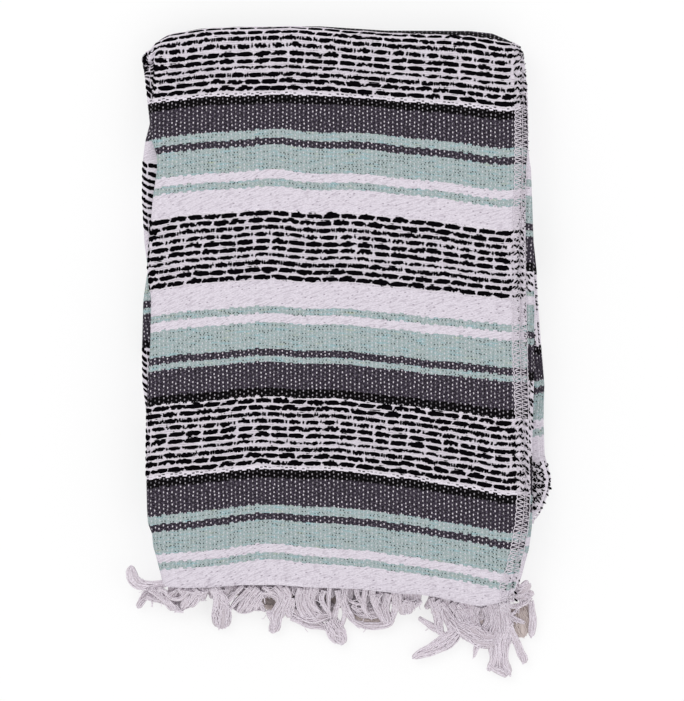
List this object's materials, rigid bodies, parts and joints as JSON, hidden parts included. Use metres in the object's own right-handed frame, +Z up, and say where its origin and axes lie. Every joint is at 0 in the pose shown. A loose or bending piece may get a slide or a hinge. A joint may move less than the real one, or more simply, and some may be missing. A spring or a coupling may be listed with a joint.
{
  "type": "folded striped falsa blanket",
  "caption": "Striped woven blanket with fringed ends, folded into a thick flat rectangle with a rounded top fold and lying flat.",
  "frame": {"origin": "bottom centre of the bounding box, on the surface that the folded blanket lies on", "axes": "+Z up from the surface, +Y from the fringed hem to the rounded top fold, +X towards the side with the sewn selvedges"},
  "size_m": [0.3688, 0.5636, 0.05],
  "materials": {
    "striped_cloth": "coarse plain weave with raised black yarn floats, matt and slightly hairy",
    "inner_cloth": "the same striped cloth seen on its folded and sewn edges, matt",
    "fringe_yarn": "loose twisted white yarn, matt and fuzzy"
  },
  "bodies": {
    "root": {"outer_cloth": "striped_cloth", "hidden_layers": "inner_cloth", "front_fringe": "fringe_yarn", "back_fringe": "fringe_yarn"}
  },
  "joints": []
}
